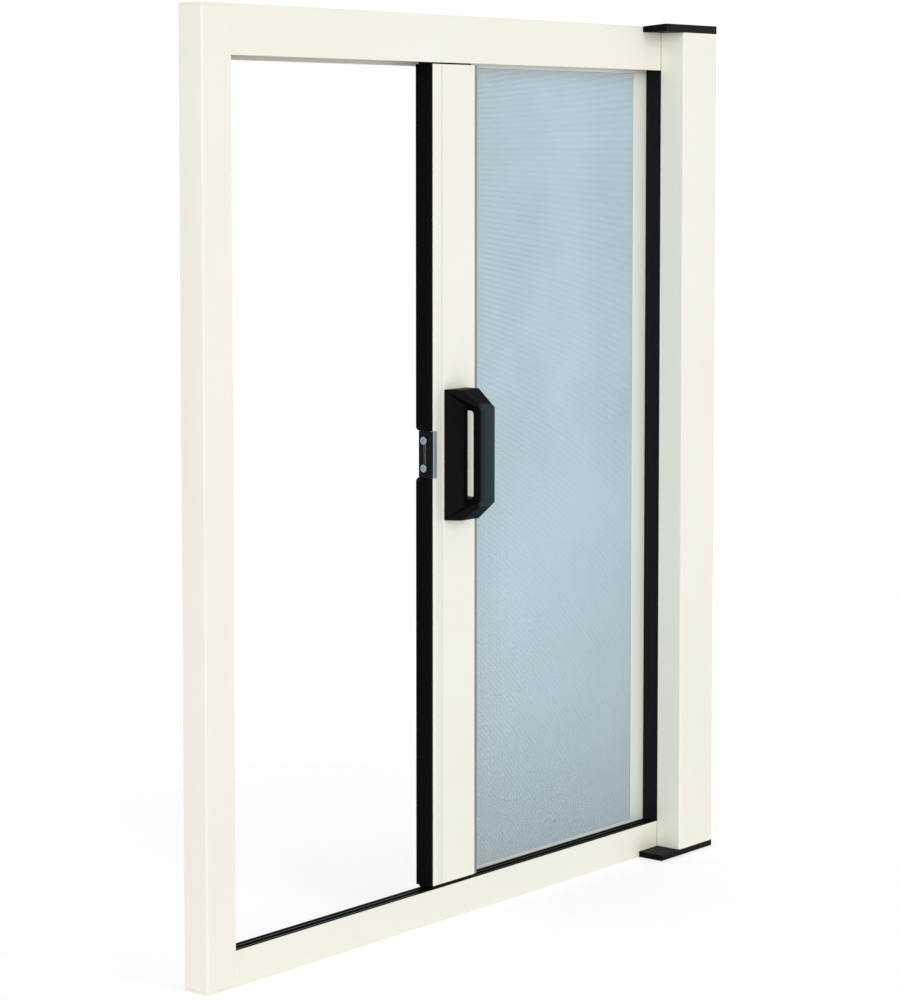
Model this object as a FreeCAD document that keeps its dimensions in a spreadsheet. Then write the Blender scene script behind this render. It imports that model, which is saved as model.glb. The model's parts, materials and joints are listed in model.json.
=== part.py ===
import FreeCAD, Part
import os
import re
import Sketcher

# A side-rolling insect screen on its window frame: a hollow left jamb, a top and a bottom
# rail, a box cassette with a sprung roller on the right, and a pull bar that slides
# between them and draws the mesh out. +Z is up, +X runs from the jamb to the cassette,
# and the room side, with the handle, faces -Y. The origin is on the bottom face, halfway
# along the frame and halfway through the rails' depth. All sizes are in millimetres.

SIZES = (
    ("frame_height", 720, "overall height"),
    ("frame_width", 616, "overall width, jamb to cassette"),
    ("rail_depth", 24, "depth of jamb and rails, front to back"),
    ("profile_wall", 1.4, "wall of the extruded frame profiles"),
    ("seat_gap", 0.2, "gap round a moulded piece pushed into a profile"),
    ("slide_gap", 0.4, "gap each side of what slides"),
    ("jamb_face", 30, "width of the left jamb's face"),
    ("jamb_edge_radius", 1.6, "rounding of the jamb's outer long edges"),
    ("jamb_groove_width", 12.4, "groove for the closing strip in the jamb"),
    ("jamb_groove_depth", 3, "depth of that groove"),
    ("fixing_access", 4.2, "radius of the holes over the fixing holes"),
    ("head_face", 37, "height of the top rail's front wall"),
    ("head_back", 39.7, "height of the top rail's back wall"),
    ("head_chamber", 12, "depth of the top rail's closed chamber"),
    ("sill_face", 27, "height of the bottom rail's front wall"),
    ("sill_back", 22, "height of the bottom rail's back wall"),
    ("sill_chamber", 9, "height of the bottom rail's closed chamber"),
    ("rail_edge_radius", 0.6, "rounding of the rails' long edges"),
    ("fixing_radius", 2.25, "radius of the fixing holes through the rails"),
    ("fixing_spacing", 400, "distance between the two fixing holes of a rail"),
    ("guide_floor", 1.6, "thickness of the track liners where they lie on the rails"),
    ("guide_fin", 1.4, "thickness of the upright fins of the track liners"),
    ("head_fin_height", 20, "height of the fins of the top liner"),
    ("track_back", 7, "pull bar's track, behind the rails' front plane"),
    ("track_width", 4.4, "width of the pull bar's track"),
    ("track_play", 0.3, "gap each side of a shoe's tongue in its track"),
    ("mesh_back", 16, "mesh plane, behind the rails' front plane"),
    ("mesh_slot", 1.2, "width of the slots that the mesh runs in"),
    ("mesh_thickness", 0.6, "thickness of the mesh wall"),
    ("mesh_clear", 5, "gap between the mesh and the bottom of its slots"),
    ("corner_plate", 2, "plate of the moulded corner pieces"),
    ("corner_leg", 22, "length of a corner piece's leg inside the jamb"),
    ("corner_arm", 28, "length of a corner piece's arm inside a rail"),
    ("corner_arm_depth", 17, "front to back size of that arm"),
    ("set_screw_radius", 1.95, "radius of the set screws"),
    ("set_screw_length", 6, "length of the set screws"),
    ("set_screw_hole", 2, "radius of the set screws' holes"),
    ("hex_socket", 1, "radius of the set screws' hexagon sockets"),
    ("cassette_face", 50, "width of the cassette's face"),
    ("cassette_reach", 24, "how far the cassette stands in front of the rails"),
    ("cassette_edge_radius", 1.8, "rounding of the cassette's long edges"),
    ("inlet_flange", 8.5, "flange of the cassette's back wall behind the mesh"),
    ("port_radius", 3.4, "outer radius of the cassette's screw ports"),
    ("port_hole", 1.5, "radius of the holes in the screw ports"),
    ("port_inset", 4.6, "centre of a screw port from the cassette's outer faces"),
    ("cap_plate", 5, "thickness of the end caps' plates"),
    ("cap_rise", 1.8, "rise of the top cap's plate from the rail to its front edge"),
    ("cap_wing", 27, "length of the end caps' wings over the rails"),
    ("cap_edge_radius", 1, "rounding of the end caps' corners"),
    ("cap_boss_radius", 8, "radius of the end caps' bearing bosses"),
    ("cap_boss_height", 6, "height of the bearing bosses inside the cassette"),
    ("cap_tongue", 24, "length of an end cap's tongue inside a rail"),
    ("cap_tongue_depth", 18, "front to back size of that tongue"),
    ("screw_head_radius", 3.2, "radius of the cap screws' heads"),
    ("screw_head_height", 2, "height of the cap screws' heads"),
    ("screw_length", 16, "length of the cap screws under the head"),
    ("screw_radius", 1.45, "radius of the cap screws' shanks"),
    ("recess_width", 0.9, "width of the cross recess in screw heads"),
    ("inlet_seal_width", 4, "size of the inlet strip into the cassette"),
    ("inlet_seal_leg", 4, "leg of the inlet strip behind the cassette's side wall"),
    ("inlet_pile_width", 5, "width of the pile strip behind the mesh at the inlet"),
    ("roller_offset", 27, "roller's axis from the cassette's left face"),
    ("tube_radius", 12.5, "outer radius of the roller tube"),
    ("tube_wall", 1, "wall of the roller tube"),
    ("roll_build", 1.7, "thickness of the mesh wound on the tube"),
    ("roll_gap", 0.3, "gap between the roll and the drawn-out mesh"),
    ("tube_end_gap", 1, "gap between the tube's ends and the bearing bosses"),
    ("plug_flange", 1.5, "flange of the roller's end plugs"),
    ("plug_length", 18, "length of the end plugs inside the tube"),
    ("axle_radius", 3, "radius of the bearing pin and of the spring shaft"),
    ("axle_play", 0.05, "radial play of the plugs on pin and shaft"),
    ("idle_pin_length", 20, "length of the top bearing pin"),
    ("spring_shaft_length", 150, "length of the spring shaft"),
    ("spring_coil_radius", 7, "mean radius of the torsion spring"),
    ("spring_wire_radius", 0.8, "radius of the spring wire"),
    ("collar_radius", 9.5, "radius of the spring's collars"),
    ("collar_length", 10, "length of the spring's collars"),
    ("bar_gap", 228, "opening left between the jamb and the pull bar"),
    ("bar_face", 52, "width of the pull bar's face"),
    ("bar_depth", 19, "depth of the pull bar"),
    ("bar_wall", 1.3, "wall of the pull bar's profile"),
    ("bar_top_gap", 1.2, "gap between the pull bar's end and the top rail"),
    ("bar_bottom_gap", 3, "gap between the pull bar's end and the bottom rail"),
    ("bar_step", 20, "shallower part of the pull bar, from its left edge"),
    ("bar_step_depth", 15, "depth of that part"),
    ("bar_line_offset", 10.6, "fine groove in the bar's face from its left edge"),
    ("bar_line_width", 1.2, "width of the fine groove"),
    ("bar_line_depth", 0.4, "depth of the fine groove"),
    ("bar_edge_radius", 0.8, "rounding of the pull bar's long edges"),
    ("seal_tail_width", 10, "tail of the leading strip inside the bar"),
    ("seal_tail_depth", 3, "depth of that tail"),
    ("seal_width", 15.4, "front to back size of the leading strip"),
    ("seal_proud", 3, "how far the leading strip stands out of the bar"),
    ("seal_front_step", 0.6, "leading strip's front behind the bar's face"),
    ("bead_width", 3.5, "bead along the pull bar's right edge"),
    ("bead_step", 0.4, "bead's front behind the bar's face"),
    ("bead_depth", 3, "front to back size of the bead"),
    ("bead_tail", 1.2, "thickness of the bead's tail, and its length behind the wall"),
    ("spline_radius", 2, "radius of the cord that holds the mesh in the bar"),
    ("spline_groove", 2.3, "radius of its groove"),
    ("spline_inset", 3.5, "centre of the cord from the bar's right face"),
    ("spline_mouth", 1.4, "width of the groove's mouth"),
    ("shoe_plug", 14, "length of a shoe inside the pull bar"),
    ("shoe_plate", 2.4, "thickness of a shoe's plate"),
    ("shoe_front_step", 0.8, "bottom shoe's plate behind the bar's face"),
    ("shoe_top_step", 2.4, "top shoe's plate behind the bar's face"),
    ("tongue_reach", 8, "length of a shoe's tongue in its track"),
    ("latch_centre", 375, "height of the latch plate's middle"),
    ("latch_length", 37, "height of the latch plate"),
    ("latch_plate_thickness", 1, "thickness of the latch plate"),
    ("latch_width", 14.2, "front to back size of the latch plate"),
    ("latch_return", 3.4, "return of the latch plate on the bar's face"),
    ("latch_slot_width", 4.6, "width of the slot in the latch plate"),
    ("latch_slot_length", 16, "length of the slot in the latch plate"),
    ("latch_screw_spacing", 22, "distance between the latch plate's screws"),
    ("latch_screw_head", 3.1, "radius of the latch screws' heads"),
    ("latch_head_height", 1.4, "height of the latch screws' heads"),
    ("latch_screw_radius", 1.4, "radius of the latch screws' shanks"),
    ("latch_screw_length", 8, "length of the latch screws under the head"),
    ("catch_reach", 6, "how far the jamb's catch stands out"),
    ("catch_blade", 2.4, "thickness of the catch's blade"),
    ("catch_blade_height", 11, "height of the catch's blade"),
    ("catch_plate_height", 40, "height of the catch's plate"),
    ("catch_plate_thickness", 2, "thickness of the catch's plate"),
    ("catch_screw_spacing", 30, "distance between the catch's screws"),
    ("catch_screw_head", 2.7, "radius of the catch screws' heads"),
    ("catch_head_height", 0.9, "height of the catch screws' heads"),
    ("handle_centre", 374, "height of the handle's middle"),
    ("handle_length", 104, "height of the handle"),
    ("handle_offset", 13.4, "handle's left edge from the bar's left edge"),
    ("handle_width", 28.6, "width of the handle's foot"),
    ("handle_reach", 29.6, "how far the handle stands out"),
    ("handle_shoulder", 12.6, "height of the handle's square ends"),
    ("handle_chamfer", 14.5, "slant of the handle's ends, along the handle"),
    ("handle_lip", 0.8, "upright edge of the handle's foot"),
    ("handle_floor", 1.1, "thickness of the handle's floor"),
    ("grip_offset", 14.4, "grip's left side from the handle's left edge"),
    ("grip_width", 13.4, "width of the grip"),
    ("grip_thickness", 11.6, "thickness of the grip"),
    ("ridge_offset", 9.3, "ridge of the handle's left slope from its left edge"),
    ("ridge_inset", 11.3, "that ridge's ends from the handle's ends"),
    ("slope_edge", 1, "rim left at the ends of the left slope"),
    ("finger_round", 3, "rounding at the ends of the finger gap"),
    ("handle_edge_radius", 1, "rounding of the handle's edges"),
    ("handle_screw_inset", 8, "handle's screws from its ends"),
    ("handle_screw_radius", 1.9, "radius of the handle's screws"),
    ("handle_screw_head", 3.4, "radius of the handle screws' heads"),
    ("handle_head_height", 2, "height of the handle screws' heads"),
    ("handle_screw_grip", 9, "length of the handle's screws inside the handle"),
    ("mesh_gap_count", 120, "rows of gaps in the mesh wall"),
    ("mesh_band", 2.2, "thread band left between two rows of gaps"),
    ("mesh_border", 6, "solid border of the mesh at the bar and the inlet"),
)

document = FreeCAD.newDocument("ScreenFrame")
sheet = document.addObject("Spreadsheet::Sheet", "Sizes")
for row, (word, value, meaning) in enumerate(SIZES, 1):
    sheet.set(f"A{row}", word)
    sheet.set(f"B{row}", str(value))
    sheet.set(f"C{row}", meaning)
    sheet.setAlias(f"B{row}", word)
document.recompute()
WORDS = {word for word, value, meaning in SIZES}
pieces = []

# Places that several pieces share, as words of the sheet
TOP = "frame_height"
LEFT = "(-frame_width/2)"
INNER = "(-frame_width/2 + jamb_face)"
INLET = "(frame_width/2 - cassette_face)"
RAIL_LENGTH = "(frame_width - jamb_face - cassette_face)"
FRONT = "(-rail_depth/2)"
BACK = "(rail_depth/2)"
INSIDE = "(rail_depth/2 - profile_wall)"
MESH = "(mesh_back - rail_depth/2)"
TRACK = "(track_back - rail_depth/2)"
BAR_LEFT = "(-frame_width/2 + jamb_face + bar_gap)"
BAR_LOW = "(sill_face + bar_bottom_gap)"
BAR_HIGH = "(frame_height - head_face - bar_top_gap)"
RIDGE_END = "(handle_length/2 - ridge_inset)"
HOLLOW_END = (f"({RIDGE_END} - (ridge_inset - slope_edge)"
              "*(grip_offset - ridge_offset)/ridge_offset)")
HANDLE_SCREW = "(handle_length/2 - handle_screw_inset)"
PORT_X = "(cassette_face - port_inset)"
FACE = "(-rail_depth/2 - cassette_reach)"

HEAD_ROOF = "(frame_height - head_chamber - profile_wall)"
SILL_FLOOR = "(sill_chamber + profile_wall)"
ROLL_RADIUS = "(tube_radius + roll_build)"
ROLLER_X = "(frame_width/2 - cassette_face + roller_offset)"
ROLLER_Y = "(mesh_back - rail_depth/2 - mesh_thickness/2 - roll_gap - tube_radius - roll_build)"
TUBE_LOW = "(cap_plate + cap_boss_height + tube_end_gap + plug_flange)"
MESH_LOW = "(sill_chamber + profile_wall + guide_floor + mesh_clear)"
MESH_HIGH = "(frame_height - head_chamber - profile_wall - guide_floor - mesh_clear)"
MESH_LEFT = ("(-frame_width/2 + jamb_face + bar_gap + bar_face - spline_inset + spline_radius"
             " + roll_gap)")
SEAL = "(seal_front_step + seal_width/2 - rail_depth/2)"
BEAD_MIDDLE = "(bead_step + bead_depth/2)"
BAR_LENGTH = "(frame_height - head_face - bar_top_gap - sill_face - bar_bottom_gap)"


def bind(text):
    """The text with every word of the sheet turned into a reference to its cell."""
    return re.sub(r"[a-z_]+", lambda m: "Sizes." + m[0] if m[0] in WORDS else m[0], text)


def number(text):
    """The value that an expression has now."""
    return float(sheet.evalExpression(bind(text)))


def new_body(label, x="0", y="0", z="0"):
    """A body named after its piece, with its own origin at x, y, z of the frame."""
    body = document.addObject("PartDesign::Body", label)
    body.Label = label
    for axis, text in zip("xyz", (x, y, z)):
        body.setExpression(f"Placement.Base.{axis}", bind(text))
    pieces.append(body)
    return body


def new_sketch(body, plane, level="0"):
    """A sketch on one of the body's own planes, raised along the plane's normal."""
    sketch = body.newObject("Sketcher::SketchObject", "Outline")
    own = [item for item in body.Origin.OriginFeatures if item.Role == plane + "_Plane"]
    sketch.AttachmentSupport = [(own[0], "")]
    sketch.MapMode = "FlatFace"
    sketch.setExpression("AttachmentOffset.Base.z", bind(level))
    return sketch


def hold(sketch, kind, items, text):
    """One dimension of a sketch, bound to the sheet."""
    row = sketch.addConstraint(Sketcher.Constraint(kind, *items, number(text)))
    sketch.setExpression(f"Constraints[{row}]", bind(text))


def add_ring(sketch, corners):
    """A closed outline of straight lines, each corner held by its two distances."""
    spots = [FreeCAD.Vector(number(u), number(v), 0) for u, v in corners]
    first = sketch.GeometryCount
    for here, there in zip(spots, spots[1:] + spots[:1]):
        sketch.addGeometry(Part.LineSegment(here, there), False)
    for step, (u, v) in enumerate(corners):
        following = first + (step + 1) % len(corners)
        joint = Sketcher.Constraint("Coincident", first + step, 2, following, 1)
        sketch.addConstraint(joint)
        hold(sketch, "DistanceX", (-1, 1, first + step, 1), u)
        hold(sketch, "DistanceY", (-1, 1, first + step, 1), v)


def add_circle(sketch, u, v, radius):
    """A circle held by its centre and radius."""
    centre = FreeCAD.Vector(number(u), number(v), 0)
    ring = Part.Circle(centre, FreeCAD.Vector(0, 0, 1), number(radius))
    index = sketch.addGeometry(ring, False)
    hold(sketch, "DistanceX", (-1, 1, index, 3), u)
    hold(sketch, "DistanceY", (-1, 1, index, 3), v)
    hold(sketch, "Radius", (index,), radius)


def pad(body, sketch, length, against=False):
    """Material from the sketch along its normal, or against it."""
    feature = body.newObject("PartDesign::Pad", "Pad")
    feature.Profile = sketch
    feature.setExpression("Length", bind(length))
    feature.Reversed = against
    return feature


def pocket(body, sketch, length, along=False):
    """A cut from the sketch against its normal, or along it. It has to remove material."""
    document.recompute()
    before = body.Shape.Volume
    feature = body.newObject("PartDesign::Pocket", "Pocket")
    feature.Profile = sketch
    feature.setExpression("Length", bind(length))
    feature.Reversed = along
    document.recompute()
    if body.Shape.Volume > before - 0.01:
        raise RuntimeError(f"a pocket of {body.Label} cuts nothing")
    return feature


def round_edges(body, radius, wanted):
    """Rounds the edges for which wanted(edge) is true."""
    document.recompute()
    base = body.Tip
    edges = base.Shape.Edges
    names = [f"Edge{place}" for place, edge in enumerate(edges, 1) if wanted(edge)]
    feature = body.newObject("PartDesign::Fillet", "Rounding")
    feature.Base = (base, names)
    feature.setExpression("Radius", bind(radius))
    return feature


def draw(body, plane, level="0", rings=(), boxes=(), circles=()):
    """A sketch with all its closed outlines."""
    sketch = new_sketch(body, plane, level)
    for corners in rings:
        add_ring(sketch, corners)
    for left, low, right, high in boxes:
        add_ring(sketch, ((left, low), (right, low), (right, high), (left, high)))
    for across, along, radius in circles:
        add_circle(sketch, across, along, radius)
    return sketch


def edge_at(letters, spots):
    """A test for edges whose ends share one of these spots in the two directions named."""
    keep = ["xyz".index(letter) for letter in letters]
    places = [[number(text) for text in spot] for spot in spots]

    def wanted(edge):
        ends = [vertex.Point for vertex in edge.Vertexes]
        for place in places:
            offsets = [end[k] - value for end in ends for k, value in zip(keep, place)]
            if len(ends) == 2 and max(map(abs, offsets)) < 0.01:
                return True
        return False

    return wanted


def upright_at(*spots):
    """A test for upright edges by their place in plan."""
    return edge_at("xy", spots)


def along_x_at(*spots):
    """A test for edges along the rails by their depth and height."""
    return edge_at("yz", spots)


# The frame's profiles and corners


def left_jamb():
    """Hollow profile the full height of the frame, grooved where the bar closes on it."""
    body = new_body("left_jamb", LEFT, "0", "corner_plate")
    near = f"({SEAL} - jamb_groove_width/2)"
    beyond = f"({SEAL} + jamb_groove_width/2)"
    floor = "(jamb_face - jamb_groove_depth)"
    step = f"({beyond} + profile_wall)"
    outer = (
        ("0", FRONT), ("jamb_face", FRONT), ("jamb_face", near), (floor, near),
        (floor, beyond), ("jamb_face", beyond), ("jamb_face", BACK), ("0", BACK),
    )
    chamber = (
        ("profile_wall", f"-{INSIDE}"), (f"{floor} - profile_wall", f"-{INSIDE}"),
        (f"{floor} - profile_wall", step), ("jamb_face - profile_wall", step),
        ("jamb_face - profile_wall", INSIDE), ("profile_wall", INSIDE),
    )
    pad(body, draw(body, "XY", rings=(outer, chamber)), "frame_height - 2*corner_plate")
    side = "(corner_arm_depth/2 + seat_gap)"
    low = (f"-{side}", "-corner_plate", side, "sill_chamber - corner_plate")
    high = (f"-{side}", "frame_height - corner_plate - head_chamber", side, "frame_height")
    windows = draw(body, "YZ", "jamb_face + 1", boxes=(low, high))
    pocket(body, windows, "2 + jamb_groove_depth + profile_wall")
    heights = ("corner_leg/2", "frame_height - 2*corner_plate - corner_leg/2")
    holes = [("jamb_face/2", height, "set_screw_hole") for height in heights]
    pocket(body, draw(body, "XZ", f"-{BACK} - 1", circles=holes), "profile_wall + 2", along=True)
    middle = "latch_centre - corner_plate"
    catch = [(SEAL, f"{middle} {sign} catch_screw_spacing/2", "screw_radius + seat_gap")
             for sign in "-+"]
    pocket(body, draw(body, "YZ", floor, circles=catch), "profile_wall + 1")
    round_edges(body, "jamb_edge_radius", upright_at(("0", FRONT), ("0", BACK)))


def rail(label, height, outline, chamber, outer_level, inner_level, screw_height):
    """A rail's profile with two fixing holes and a set screw hole in its back."""
    body = new_body(label, INNER, "0", height)
    pad(body, draw(body, "YZ", rings=(outline, chamber)), RAIL_LENGTH)
    places = [f"frame_width/2 - jamb_face {sign} fixing_spacing/2" for sign in "-+"]
    for level, radius in ((outer_level, "fixing_radius"), (inner_level, "fixing_access")):
        holes = [(place, "0", radius) for place in places]
        pocket(body, draw(body, "XY", level, circles=holes), "profile_wall + 2")
    hole = [("corner_arm/2", screw_height, "set_screw_hole")]
    pocket(body, draw(body, "XZ", f"-{BACK} - 1", circles=hole), "profile_wall + 2", along=True)
    return body


def head_rail():
    """Top rail: a closed chamber over a channel that opens downwards."""
    roof = "(-head_chamber - profile_wall)"
    outline = (
        (FRONT, "0"), (FRONT, "-head_face"), (f"-{INSIDE}", "-head_face"),
        (f"-{INSIDE}", roof), (INSIDE, roof), (INSIDE, "-head_back"),
        (BACK, "-head_back"), (BACK, "0"),
    )
    chamber = (
        (f"-{INSIDE}", "-head_chamber"), (INSIDE, "-head_chamber"),
        (INSIDE, "-profile_wall"), (f"-{INSIDE}", "-profile_wall"),
    )
    body = rail("head_rail", TOP, outline, chamber, "1", "1 - head_chamber", "-head_chamber/2")
    edges = along_x_at((FRONT, "0"), (BACK, "0"), (FRONT, "-head_face"))
    round_edges(body, "rail_edge_radius", edges)


def sill_rail():
    """Bottom rail: a closed chamber under a channel that opens upwards."""
    outline = (
        (FRONT, "0"), (BACK, "0"), (BACK, "sill_back"), (INSIDE, "sill_back"),
        (INSIDE, SILL_FLOOR), (f"-{INSIDE}", SILL_FLOOR),
        (f"-{INSIDE}", "sill_face"), (FRONT, "sill_face"),
    )
    chamber = (
        (f"-{INSIDE}", "profile_wall"), (INSIDE, "profile_wall"),
        (INSIDE, "sill_chamber"), (f"-{INSIDE}", "sill_chamber"),
    )
    body = rail("sill_rail", "0", outline, chamber, "profile_wall + 1", f"{SILL_FLOOR} + 1",
                "sill_chamber/2")
    round_edges(body, "rail_edge_radius", along_x_at((FRONT, "0"), (FRONT, "sill_face")))


def corner_block(label, upper):
    """Moulded corner piece: a plate that ends the jamb, a leg in it, an arm in the rail."""
    body = new_body(label, LEFT, "0", TOP if upper else "0")
    sign = "-" if upper else ""
    plate = draw(body, "XY", boxes=(("0", FRONT, "jamb_face", BACK),))
    pad(body, plate, "corner_plate", against=upper)
    round_edges(body, "jamb_edge_radius", upright_at(("0", FRONT), ("0", BACK)))
    side = f"({INSIDE} - seat_gap)"
    end = "(jamb_face - jamb_groove_depth - profile_wall - seat_gap)"
    leg = draw(body, "XY", f"{sign}corner_plate", boxes=(("profile_wall + seat_gap", f"-{side}",
                                                          end, side),))
    pad(body, leg, "corner_leg", against=upper)
    levels = chamber_levels(upper, "corner_plate")
    across = "corner_arm_depth/2"
    arm = draw(body, "YZ", end, boxes=((f"-{across}", levels[0], across, levels[1]),))
    pad(body, arm, f"jamb_face + corner_arm - {end}")
    chamber = "head_chamber" if upper else "sill_chamber"
    holes = (("jamb_face/2", f"{sign}(corner_plate + corner_leg/2)", "set_screw_hole"),
             ("jamb_face + corner_arm/2", f"{sign}{chamber}/2", "set_screw_hole"))
    pocket(body, draw(body, "XZ", f"-{BACK} - 1", circles=holes),
           "profile_wall + set_screw_length + 2", along=True)


def chamber_levels(upper, start):
    """Lower and upper level of what is pushed into a rail's chamber."""
    if upper:
        return "-(head_chamber - seat_gap)", f"-{start}"
    return start, "sill_chamber - seat_gap"


def corner_screws():
    """Four set screws that lock the corner pieces from behind."""
    body = new_body("corner_screws", LEFT, BACK, "0")
    places = (
        ("jamb_face/2", "corner_plate + corner_leg/2"),
        ("jamb_face + corner_arm/2", "sill_chamber/2"),
        ("jamb_face/2", "frame_height - corner_plate - corner_leg/2"),
        ("jamb_face + corner_arm/2", "frame_height - head_chamber/2"),
    )
    shanks = [(across, height, "set_screw_radius") for across, height in places]
    pad(body, draw(body, "XZ", circles=shanks), "set_screw_length")
    sockets = [hexagon(across, height, "hex_socket") for across, height in places]
    pocket(body, draw(body, "XZ", rings=sockets), "set_screw_length/3", along=True)


def hexagon(u, v, radius):
    """The corners of a hexagon by the radius through them."""
    turns = ((1, 0), (0.5, 1), (-0.5, 1), (-1, 0), (-0.5, -1), (0.5, -1))
    return [(f"{u} + ({a})*{radius}", f"{v} + ({b})*sin(60 deg)*{radius}") for a, b in turns]


def track_liner(label, upper):
    """Black liner of a rail's channel: a track for the bar's shoe and a slot for the mesh."""
    body = new_body(label, INNER, "0", HEAD_ROOF if upper else SILL_FLOOR)
    sign = "-" if upper else ""
    tall = "head_fin_height" if upper else f"(sill_face - {SILL_FLOOR})"
    short = tall if upper else f"(sill_back - {SILL_FLOOR})"
    fins = (
        (f"({TRACK} - track_width/2 - guide_fin)", tall),
        (f"({TRACK} + track_width/2)", tall),
        (f"({MESH} - mesh_slot/2 - guide_fin)", tall),
        (f"({MESH} + mesh_slot/2)", short),
    )
    ring = [(INSIDE, "0"), (f"-{INSIDE}", "0"), (f"-{INSIDE}", f"{sign}guide_floor")]
    for start, height in fins:
        ring += [(start, f"{sign}guide_floor"), (start, f"{sign}{height}")]
        ring += [(f"{start} + guide_fin", f"{sign}{height}")]
        ring += [(f"{start} + guide_fin", f"{sign}guide_floor")]
    ring.append((INSIDE, f"{sign}guide_floor"))
    pad(body, draw(body, "YZ", rings=(ring,)), RAIL_LENGTH)


def closing_strip():
    """Strip in the jamb's groove that the pull bar closes on, in two lengths."""
    body = new_body("closing_strip", INNER, SEAL)
    side = "(jamb_groove_width/2 - seat_gap)"
    gap = "(catch_plate_height/2 + seat_gap)"
    lengths = (("sill_face", f"latch_centre - {gap}"),
               (f"latch_centre + {gap}", "frame_height - head_face"))
    for low, high in lengths:
        strip = draw(body, "XY", low, boxes=(("-jamb_groove_depth", f"-{side}",
                                              "-seat_gap", side),))
        pad(body, strip, f"{high} - ({low})")


def jamb_catch():
    """Steel catch in the jamb's groove, with a blade that enters the latch plate's slot."""
    body = new_body("jamb_catch", INNER, SEAL, "latch_centre")
    side = "(jamb_groove_width/2 - seat_gap)"
    plate = (f"-{side}", "-catch_plate_height/2", side, "catch_plate_height/2")
    holes = [("0", f"{sign}catch_screw_spacing/2", "screw_radius + seat_gap")
             for sign in ("-", "")]
    pad(body, draw(body, "YZ", "-jamb_groove_depth", boxes=(plate,), circles=holes),
        "catch_plate_thickness")
    blade = ("-catch_blade/2", "-catch_blade_height/2", "catch_blade/2", "catch_blade_height/2")
    pad(body, draw(body, "YZ", "catch_plate_thickness - jamb_groove_depth", boxes=(blade,)),
        "catch_reach + jamb_groove_depth - catch_plate_thickness")


def pan_screws(body, plane, level, centres, head, height, shank, length, ahead=False):
    """Screws seated on one level: cross-recessed heads on one side, shanks on the other."""
    heads = [(u, v, head) for u, v in centres]
    pad(body, draw(body, plane, level, circles=heads), height, against=not ahead)
    shanks = [(u, v, shank) for u, v in centres]
    pad(body, draw(body, plane, level, circles=shanks), length, against=ahead)
    face = f"{level} {'+' if ahead else '-'} {height}"
    crosses = [cross(u, v, f"{head}*0.55", "recess_width/2") for u, v in centres]
    pocket(body, draw(body, plane, face, rings=crosses), f"{height}/2", along=not ahead)


def cross(u, v, arm, half):
    """The corners of a cross recess."""
    turns = ((-1, 0, 0, -1), (1, 0, 0, -1), (1, 0, -1, 0), (0, 1, -1, 0), (0, 1, 1, 0),
             (1, 0, 1, 0), (1, 0, 0, 1), (-1, 0, 0, 1), (-1, 0, 1, 0), (0, -1, 1, 0),
             (0, -1, -1, 0), (-1, 0, -1, 0))
    return [(f"{u} + ({a})*{half} + ({b})*{arm}", f"{v} + ({c})*{half} + ({d})*{arm}")
            for a, b, c, d in turns]


def catch_screws():
    """Two screws that hold the catch."""
    body = new_body("catch_screws", INNER, SEAL, "latch_centre")
    centres = [("0", f"{sign}catch_screw_spacing/2") for sign in ("-", "")]
    pan_screws(body, "YZ", "catch_plate_thickness - jamb_groove_depth", centres,
               "catch_screw_head", "catch_head_height", "screw_radius", "latch_screw_length",
               ahead=True)


# The cassette and its end caps


def port_centres():
    """Centres of the cassette's screw ports, from its left face."""
    return (PORT_X, f"{FACE} + port_inset"), (PORT_X, f"{BACK} - port_inset")


def cassette():
    """Cassette profile: open on its left towards the mesh, with screw ports in two corners."""
    body = new_body("cassette", INLET, "0", "cap_plate")
    far = "cassette_face - profile_wall"
    outline = (
        ("0", FACE), ("cassette_face", FACE), ("cassette_face", BACK), ("-inlet_flange", BACK),
        ("-inlet_flange", INSIDE), (far, INSIDE), (far, f"{FACE} + profile_wall"),
        ("profile_wall", f"{FACE} + profile_wall"), ("profile_wall", FRONT), ("0", FRONT),
    )
    length = "frame_height - 2*cap_plate"
    pad(body, draw(body, "XY", rings=(outline,)), length)
    ports = [(u, v, "port_radius") for u, v in port_centres()]
    pad(body, draw(body, "XY", circles=ports), length)
    holes = [(u, v, "port_hole") for u, v in port_centres()]
    pocket(body, draw(body, "XY", "frame_height", circles=holes), "2*frame_height")
    low = ("-inlet_flange - 1", "-cap_plate", "0", "sill_back + seat_gap - cap_plate")
    high = ("-inlet_flange - 1", "frame_height - head_back - seat_gap - cap_plate",
            "0", "frame_height")
    notches = draw(body, "XZ", f"-{BACK} - 1", boxes=(low, high))
    pocket(body, notches, "profile_wall + 2", along=True)
    corners = upright_at(("0", FACE), ("cassette_face", FACE), ("cassette_face", BACK))
    round_edges(body, "cassette_edge_radius", corners)


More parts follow.
